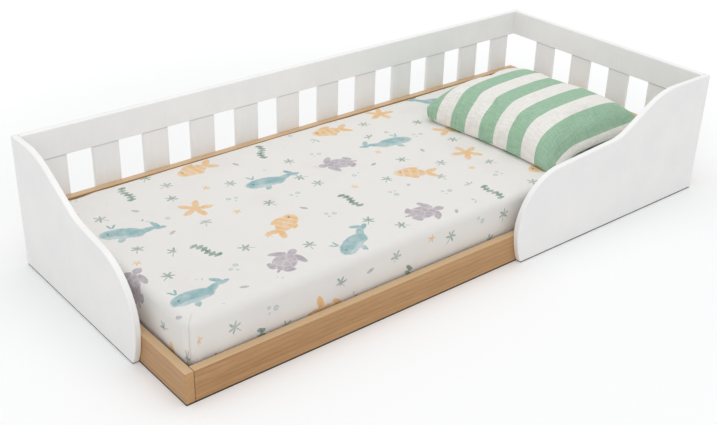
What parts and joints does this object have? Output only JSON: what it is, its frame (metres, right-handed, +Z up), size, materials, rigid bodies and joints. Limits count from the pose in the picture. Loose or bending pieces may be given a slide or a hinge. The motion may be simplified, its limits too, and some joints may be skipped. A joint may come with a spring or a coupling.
{
  "type": "toddler floor bed",
  "caption": "Low toddler floor bed: wooden tray with a slatted base, white slatted back and head, S-curved foot panel and front guard, mattress, fitted sheet and pillow.",
  "frame": {"origin": "on the floor, at the middle of the bed's outer length and depth", "axes": "+X from the foot to the head, +Y from the open front to the back, +Z up"},
  "size_m": [1.586, 0.686, 0.323],
  "materials": {
    "oiled_wood": "satin",
    "plain_wood": "matte",
    "dowel_wood": "matte",
    "white_paint": "satin",
    "zinc_steel": "satin",
    "glide_plastic": "matte",
    "webbing": "matte",
    "foam": "matte",
    "cover_cloth": "matte",
    "sheet_cloth": "matte",
    "elastic": "matte",
    "pillow_cloth": "matte"
  },
  "bodies": {
    "bed_frame": {"foot_rail": "oiled_wood", "front_rail": "oiled_wood", "head_board": "oiled_wood", "back_board": "oiled_wood", "front_ledger": "plain_wood", "back_ledger": "plain_wood", "base_slat_01": "plain_wood", "base_slat_02": "plain_wood", "base_slat_03": "plain_wood", "base_slat_04": "plain_wood", "base_slat_05": "plain_wood", "base_slat_06": "plain_wood", "base_slat_07": "plain_wood", "base_slat_08": "plain_wood", "base_slat_09": "plain_wood", "base_slat_10": "plain_wood", "base_slat_11": "plain_wood", "base_slat_12": "plain_wood", "base_webbing_front": "webbing", "base_webbing_back": "webbing", "foot_panel": "white_paint", "front_guard": "white_paint", "back_top_rail": "white_paint", "head_top_rail": "white_paint", "back_slat_01": "white_paint", "back_slat_02": "white_paint", "back_slat_03": "white_paint", "back_slat_04": "white_paint", "back_slat_05": "white_paint", "back_slat_06": "white_paint", "back_slat_07": "white_paint", "back_slat_08": "white_paint", "back_slat_09": "white_paint", "back_slat_10": "white_paint", "back_slat_11": "white_paint", "back_slat_12": "white_paint", "head_slat_1": "white_paint", "head_slat_2": "white_paint", "head_slat_3": "white_paint", "head_slat_4": "white_paint", "back_slat_screws": "zinc_steel", "head_slat_screws": "zinc_steel", "panel_screws": "zinc_steel", "corner_dowels": "dowel_wood", "rail_dowels": "dowel_wood", "cam_locks": "zinc_steel", "cam_bolts": "zinc_steel", "corner_brackets": "zinc_steel", "bracket_screws": "zinc_steel", "ledger_screws": "zinc_steel", "base_slat_screws": "zinc_steel", "floor_glides": "glide_plastic"},
    "mattress": {"mattress_core": "foam", "mattress_cover": "cover_cloth", "fitted_sheet": "sheet_cloth", "sheet_elastic": "elastic"},
    "pillow": {"pillow": "pillow_cloth"}
  },
  "joints": [
    {"name": "mattress_lift", "type": "slide", "parent": "bed_frame", "child": "mattress", "axis": [0, 0, 1], "range_m": [0, 0.3]},
    {"name": "pillow_lift", "type": "slide", "parent": "mattress", "child": "pillow", "axis": [0, 0, 1], "range_m": [0, 0.2]}
  ]
}
